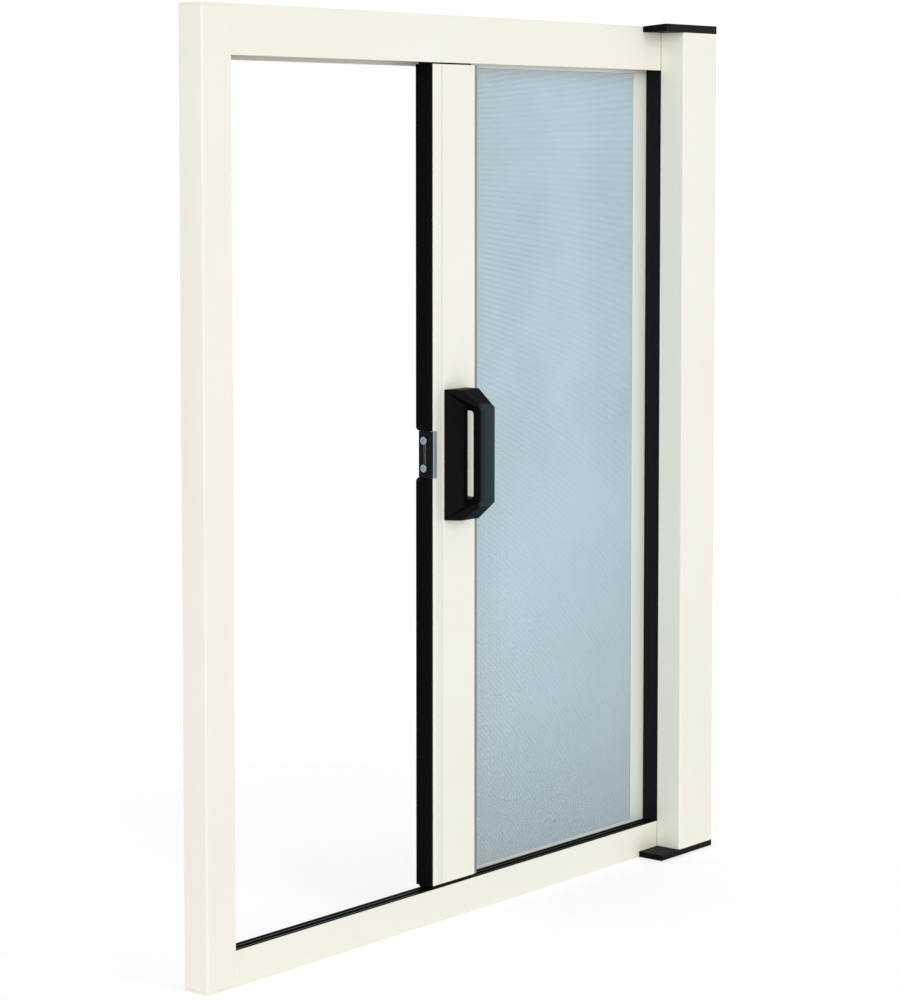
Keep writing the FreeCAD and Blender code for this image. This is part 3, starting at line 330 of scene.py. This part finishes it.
def mesh_thread():
    """PVC-coated glass thread: blue-grey and cloudy, darker lower down, with painted shade under
    the top rail.
    """
    made, tree, shader, place = finish_of("pvc_coated_thread")
    height = part_of(tree, place, "Z")
    level = between(tree, height, 0.0, 1.0, MESH_DARKEST, MESH_PALEST)
    cloud = noise(tree, place, 120 * MM)
    # Painted shade under the top rail
    shade = between(tree, height, MESH_RAIL_SHADE_TONE, MESH_OPEN_TONE, MESH_RAIL_EDGE, MESH_RAIL_END)
    tone = maths(tree, "MULTIPLY", maths(tree, "MULTIPLY", level, cloud), shade, use_clamp=True)
    rough = noise(tree, place, 2 * MM)
    feed(tree, shader, {"Base Color": blend_of(tree, tone, "088096", "6fb6ca"),
                        "Roughness": between(tree, rough, 0.45, 0.6)})
    return made


def tape_and_painted_light_finish():
    """Welded edge taping of the mesh: pale, with faint streaks down its length. Its bands over the
    head rail's rear wall and by the cassette are painted light.
    """
    made, tree, shader, place = finish_of("edge_tape_and_painted_light")
    tone = noise(tree, stretched(tree, place, (1, 1, 0.02)), 3 * MM)
    feed(tree, shader, {"Base Color": blend_of(tree, tone, "e8ece4", "f8faf2"),
                        "Roughness": between(tree, tone, 0.3, 0.4)})
    return made


def metal(name, light, dark, rough, grain, drawn=(1, 1, 1)):
    """A bare metal: tone and roughness vary with its grain, which may be drawn out."""
    made, tree, shader, place = finish_of(name)
    lines = noise(tree, stretched(tree, place, drawn), grain)
    feed(tree, shader, {"Base Color": blend_of(tree, lines, dark, light),
                        "Roughness": between(tree, lines, rough - 0.06, rough + 0.06),
                        "Metallic": 1.0})
    relief(tree, shader, lines, 0.01 * MM)
    return made


def blackened_steel():
    """Latch plate: blackened sheet, with a painted highlight, pale grey, on its narrow front
    return.
    """
    made, tree, shader, place = finish_of("blackened_steel_sheet")
    lines = noise(tree, place, 0.5 * MM)
    plain = blend_of(tree, lines, "0b0c0e", "131517")
    # Painted highlight: the narrow front return is coloured pale grey
    front = forward(tree, place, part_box("latch_plate")[0].y, RETURN_HIGHLIGHT_DEPTH)
    feed(tree, shader, {"Base Color": blend_of(tree, front, plain, "a3adb0"),
                        "Roughness": between(tree, lines, 0.36, 0.48), "Metallic": 0.6,
                        "Specular IOR Level": 0.12})
    relief(tree, shader, lines, 0.01 * MM)
    return made


FINISHES = {
    "cream_coat": powder_coat(),
    "cream_plastic": cream_nylon(),
    "black_plastic": moulded_black(),
    "black_pvc": extruded_pvc(),
    "grey_pvc": grey_pvc(),
    "black_rubber": soft_black("black_soft_extrusion"),
    "black_pile": soft_black("black_woven_pile"),
    "grey_mesh": mesh_thread(),
    "mill_aluminium": metal("extruded_aluminium", "d8dadc", "c2c4c7", 0.34, 0.8 * MM,
                            (1, 1, 0.02)),
    "satin_steel": blackened_steel(),
    "zinc_steel": metal("bright_zinc_plate", "a3b4b8", "7d9096", 0.26, 0.9 * MM),
    "spring_steel": metal("oiled_spring_steel", "63656a", "4a4b50", 0.3, 0.7 * MM, (1, 1, 8)),
}
TAPE_AND_PAINTED_LIGHT = tape_and_painted_light_finish()
INLET = soft_black("black_inlet_extrusion", sheen=0.2)
SLOTS = {part["node"]: part["material_slot"] for part in frame["record"]["subparts"]}


# Making pieces


def settled(piece):
    """The piece as plain mesh, with its modifiers worked in."""
    if piece.name not in bpy.context.scene.collection.objects:
        bpy.context.scene.collection.objects.link(piece)
    bpy.context.view_layer.update()
    shown = piece.evaluated_get(bpy.context.evaluated_depsgraph_get())
    mesh = bpy.data.meshes.new_from_object(shown)
    piece.modifiers.clear()
    piece.data = mesh
    return piece


def from_shape(name, shape, material):
    """An object from a bmesh, which is freed."""
    mesh = bpy.data.meshes.new(name)
    bmesh.ops.recalc_face_normals(shape, faces=shape.faces)
    shape.to_mesh(mesh)
    shape.free()
    mesh.materials.append(material)
    piece = bpy.data.objects.new(name, mesh)
    bpy.context.scene.collection.objects.link(piece)
    return piece


def softened(node, width):
    """A copy of a CAD node with its sharp edges rounded as the real finish leaves them."""
    slot = SLOTS[node]
    shape = bmesh.new()
    shape.from_mesh(frame["nodes"][node].data)
    bmesh.ops.remove_doubles(shape, verts=shape.verts, dist=MERGE_REACH)
    bmesh.ops.dissolve_limit(shape, angle_limit=math.radians(FLAT_ANGLE), verts=shape.verts,
                             edges=shape.edges)
    piece = from_shape(f"{node}_finished", shape, FINISHES[slot])
    bevel = piece.modifiers.new("soft edges", "BEVEL")
    bevel.width = width
    bevel.segments = SOFT_SEGMENTS
    bevel.limit_method = "ANGLE"
    bevel.angle_limit = math.radians(SHARP_ANGLE)
    bevel.use_clamp_overlap = False
    bevel.harden_normals = True
    piece.data.shade_smooth()
    piece.data.set_sharp_from_angle(angle=math.radians(SHARP_ANGLE))
    settled(piece)
    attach(piece, frame["nodes"][node]["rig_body"])
    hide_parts(node)
    return piece


def bare_inside(piece, boxes):
    """Bare metal on the faces whose middle lies within one of these boxes."""
    piece.data.materials.append(FINISHES["mill_aluminium"])
    for face in piece.data.polygons:
        for low, high in boxes:
            if all(a < c < b for a, c, b in zip(low, face.center, high)):
                face.material_index = 1


def pull_bar():
    """The pull bar's profile: its inside is bare, in a shallow part and a full-depth part."""
    bar = softened("bar_profile", EDGE_SOFTENING)
    low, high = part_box("bar_profile")
    margin = Vector((COAT_REACH, COAT_REACH, -COAT_REACH))
    step = low + Vector((BAR_STEP, BAR_STEP_DEPTH, high.z - low.z))
    shallow = (low + margin, step - margin + Vector((2 * COAT_REACH, 0, 0)))
    deep = (low + margin + Vector((BAR_STEP, 0, 0)), high - margin)
    bare_inside(bar, (shallow, deep))


def new_tree(name, sizes):
    """A Geometry Nodes tree with named number inputs and one geometry output."""
    tree = bpy.data.node_groups.new(name, "GeometryNodeTree")
    sockets = {}
    for word in sizes:
        socket = tree.interface.new_socket(word, in_out="INPUT", socket_type="NodeSocketFloat")
        sockets[word] = socket.identifier
    tree.interface.new_socket("Geometry", in_out="OUTPUT", socket_type="NodeSocketGeometry")
    given = tree.nodes.new("NodeGroupInput").outputs
    return tree, sockets, given


def grown(name, tree, sockets, sizes):
    """An object whose mesh a tree has made from sizes."""
    piece = bpy.data.objects.new(name, bpy.data.meshes.new(name))
    bpy.context.scene.collection.objects.link(piece)
    modifier = piece.modifiers.new("made", "NODES")
    modifier.node_group = tree
    for word, value in sizes.items():
        modifier[sockets[word]] = value
    return settled(piece)


def thread_tree(material):
    """Two sets of round threads that cross at right angles, in the plane of X and Z."""
    tree, sockets, given = new_tree("insect_mesh", ("Width", "Height", "Spacing", "Thread"))
    radius = maths(tree, "MULTIPLY", given["Thread"], 0.5)
    sets = []
    for along, across, level in (("Width", "Height", True), ("Height", "Width", False)):
        rows = maths(tree, "DIVIDE", given[across], given["Spacing"])
        count = maths(tree, "ADD", maths(tree, "FLOOR", rows), 1.0)
        half = maths(tree, "MULTIPLY", given[along], 0.5)
        start = add(tree, "ShaderNodeCombineXYZ", {"X" if level else "Z": half})
        step = add(tree, "ShaderNodeCombineXYZ", {"Z" if level else "X": given["Spacing"]})
        line = add(tree, "GeometryNodeMeshLine",
                   {"Count": count, "Start Location": start.outputs[0],
                    "Offset": step.outputs[0]}, mode="OFFSET")
        thread = add(tree, "GeometryNodeMeshCylinder",
                     {"Vertices": THREAD_SIDES, "Radius": radius, "Depth": given[along]})
        turn = (0.0, math.pi / 2, 0.0) if level else (0.0, 0.0, 0.0)
        placed = add(tree, "GeometryNodeInstanceOnPoints",
                     {"Points": line.outputs["Mesh"], "Instance": thread.outputs["Mesh"],
                      "Rotation": turn})
        sets.append(placed.outputs["Instances"])
    joined = tree.nodes.new("GeometryNodeJoinGeometry")
    for threads in sets:
        tree.links.new(threads, joined.inputs[0])
    real = add(tree, "GeometryNodeRealizeInstances", {"Geometry": joined.outputs[0]})
    coloured = add(tree, "GeometryNodeSetMaterial",
                   {"Geometry": real.outputs[0], "Material": material})
    smooth = add(tree, "GeometryNodeSetShadeSmooth", {"Geometry": coloured.outputs[0]})
    add(tree, "NodeGroupOutput", {0: smooth.outputs[0]})
    return tree, sockets


def tape_and_painted_light_bands(low, high):
    """The taping welded along the mesh's two edges, and its pale margin at the cassette. The
    margin, and the top band where it covers the head rail's rear wall, are painted light: the lit
    flange and wall as seen through the mesh.
    """
    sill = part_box("sill_rail")[1].z
    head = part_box("head_rail")[0].z
    # The bottom band is the mesh's hem; the top band and the band by the cassette are painted
    # light
    bands = (
        (low.x, high.x, low.z, sill + EDGE_TAPE_SHOWN),
        (low.x, high.x, head, high.z),
        (PAINTED_FLANGE_LEFT, PAINTED_FLANGE_RIGHT, sill + EDGE_TAPE_SHOWN, head),
    )
    middle = (low.y + high.y) / 2
    shape = bmesh.new()
    for left, right, bottom, top in bands:
        corner = Vector((left, middle - EDGE_TAPE_THICKNESS / 2, bottom))
        size = Vector((right - left, EDGE_TAPE_THICKNESS, top - bottom))
        place = Matrix.Translation(corner + size / 2) @ Matrix.Diagonal((*size, 1.0))
        bmesh.ops.create_cube(shape, size=1.0, matrix=place)
    return from_shape("mesh_tape_and_painted_light", shape, TAPE_AND_PAINTED_LIGHT)


def insect_mesh():
    """The drawn-out mesh, thread by thread, stretched between the cassette and the pull bar."""
    low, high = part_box("mesh_screen")
    tree, sockets = thread_tree(FINISHES["grey_mesh"])
    sizes = {"Width": high.x - low.x, "Height": high.z - low.z, "Spacing": THREAD_SPACING,
             "Thread": THREAD}
    cloth = grown("insect_mesh", tree, sockets, sizes)
    cloth.data.transform(Matrix.Translation((low.x, (low.y + high.y) / 2, low.z)))
    tape_and_painted_light = tape_and_painted_light_bands(low, high)
    for piece in (cloth, tape_and_painted_light):
        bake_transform(piece)
    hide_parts("mesh_screen")


def rib_outline(low, high, root):
    """A strip's cross-section: rounded corners, and ribs down its leading side."""
    flat = high.y - low.y - 2 * STRIP_CORNER
    ribs = int(flat / STRIP_RIB)
    outline = [(root, low.y), (low.x + STRIP_CORNER, low.y), (low.x, low.y + STRIP_CORNER)]
    for rib in range(ribs):
        start = low.y + STRIP_CORNER + flat * rib / ribs
        outline.append((low.x, start + STRIP_RIB_SHARE * flat / ribs))
        outline.append((low.x + STRIP_RIB_DEPTH, start + STRIP_GROOVE_SHARE * flat / ribs))
    return outline + [(low.x, high.y - STRIP_CORNER), (low.x + STRIP_CORNER, high.y),
                      (root, high.y)]


def ribbed_strip(node, upper):
    """A soft ribbed strip on the pull bar, cut at a slant where it meets the latch."""
    low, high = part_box(node)
    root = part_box("bar_profile")[0].x
    outline = rib_outline(low, high, root)
    shape = bmesh.new()
    ends = []
    for level, slanted, inward in ((low.z, upper, STRIP_SLANT), (high.z, not upper, -STRIP_SLANT)):
        ring = []
        for x, y in outline:
            shift = inward * (root - x) / (root - low.x) if slanted else 0
            ring.append(shape.verts.new((x, y, level + shift)))
        ends.append(ring)
    bottom, top = ends
    for place in range(len(outline)):
        before = place - 1
        shape.faces.new((bottom[before], bottom[place], top[place], top[before]))
    shape.faces.new(bottom[::-1])
    shape.faces.new(top)
    piece = from_shape(f"{node}_ribbed", shape, FINISHES["black_rubber"])
    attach(piece, "pull_bar")
    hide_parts(node)


# Carried-over nodes get their finish, and the visible ones softened edges too

for node, piece in frame["nodes"].items():
    piece.data.materials.clear()
    piece.data.materials.append(INLET if node == "inlet_strip" else FINISHES[SLOTS[node]])

for node in ("head_rail", "sill_rail"):
    softened(node, RAIL_SOFTENING)
pull_bar()
for node in ("left_jamb", "cassette", "bar_bead", "cassette_cap_top",
             "cassette_cap_bottom", "corner_block_top", "corner_block_bottom", "latch_plate",
             "jamb_catch", "bar_shoe_top", "bar_shoe_bottom", "closing_strip", "head_liner",
             "sill_liner"):
    softened(node, EDGE_SOFTENING)
for node in ("latch_screws", "handle_screws", "cap_screws", "catch_screws"):
    softened(node, SCREW_SOFTENING)
softened("handle", HANDLE_SOFTENING)
ribbed_strip("leading_strip_lower", upper=False)
ribbed_strip("leading_strip_upper", upper=True)
insect_mesh()


# Camera, floor and light


def photograph_camera():
    """The camera that took the photograph, from a fit to the frame's edges."""
    yaw, pitch = math.radians(CAMERA_YAW), math.radians(CAMERA_PITCH)
    ahead = Vector((math.sin(yaw) * math.cos(pitch), math.cos(yaw) * math.cos(pitch),
                    math.sin(pitch)))
    lens = bpy.data.cameras.new("photograph")
    lens.sensor_width = SENSOR
    lens.lens = CAMERA_LENS
    lens.shift_y = CAMERA_SHIFT
    lens.clip_end = CAMERA_REACH
    camera = bpy.data.objects.new("photograph", lens)
    camera.location = CAMERA_PLACE
    camera.rotation_euler = ahead.to_track_quat("-Z", "Y").to_euler()
    bpy.context.scene.collection.objects.link(camera)
    bpy.context.scene.camera = camera


def background_rays(tree):
    """1 for rays that show the background: from the camera, off gloss and through glass."""
    path = add(tree, "ShaderNodeLightPath").outputs
    share = path["Is Camera Ray"]
    for word in ("Is Glossy Ray", "Is Transmission Ray"):
        share = maths(tree, "MAXIMUM", share, path[word])
    return share


def studio_floor():
    """A plain pale floor: it glows white where it is seen, and keeps the object's shadow.

    Near the object the glow takes a smaller share and is stronger, farther off it is plain
    white. Every other ray meets the pale floor, lifted a little."""
    made, tree, shader, place = finish_of("pale_floor")
    feed(tree, shader, {"Base Color": tint(FLOOR_TONE), "Roughness": FLOOR_ROUGHNESS})
    away = add(tree, "ShaderNodeVectorMath", {0: place}, operation="LENGTH").outputs["Value"]
    near = between(tree, away, 1 - SHADOW_SHARE, 1.0, SHADOW_REACH, SHADOW_END)
    strength = between(tree, away, FLOOR_GLOW, 1.0, SHADOW_REACH, SHADOW_END)
    share = maths(tree, "MULTIPLY", background_rays(tree), near)
    glow = add(tree, "ShaderNodeEmission", {"Color": WHITE, "Strength": strength})
    mixed = add(tree, "ShaderNodeMixShader", {0: maths(tree, "MAXIMUM", share, FLOOR_LIFT),
                                              1: shader.outputs[0], 2: glow.outputs[0]})
    feed(tree, tree.nodes["Material Output"], {"Surface": mixed.outputs[0]})
    shape = bmesh.new()
    bmesh.ops.create_grid(shape, x_segments=1, y_segments=1, size=FLOOR_SIZE / 2)
    floor = from_shape("floor", shape, made)
    floor.data.transform(Matrix.Translation((0, 0, cad_low.z - FLOOR_DROP)))


def studio_world():
    """Even pale surroundings: white where they are seen, and plain light for the object."""
    world = bpy.data.worlds.new("studio")
    bpy.context.scene.world = world
    world.use_nodes = True
    tree = world.node_tree
    tree.nodes.clear()
    plain, white = (add(tree, "ShaderNodeBackground", {"Color": WHITE, "Strength": strength})
                    for strength in (WORLD_LIGHT, WORLD_SEEN))
    mixed = add(tree, "ShaderNodeMixShader", {0: background_rays(tree), 1: plain.outputs[0],
                                              2: white.outputs[0]})
    add(tree, "ShaderNodeOutputWorld", {"Surface": mixed.outputs[0]})


def studio_light():
    """Large soft boxes in front and on the left, and one on the right that shows in gloss."""
    middle = (cad_low + cad_high) / 2
    for name, place, size, power, only_gloss in SOFT_BOXES:
        light = bpy.data.lights.new(name, "AREA")
        light.size = size
        light.energy = power
        lamp = bpy.data.objects.new(name, light)
        lamp.location = place
        lamp.rotation_euler = (middle - Vector(place)).to_track_quat("-Z", "Y").to_euler()
        lamp.visible_diffuse = not only_gloss
        bpy.context.scene.collection.objects.link(lamp)


photograph_camera()
studio_floor()
studio_world()
studio_light()
bpy.context.scene.view_settings.view_transform = "Standard"
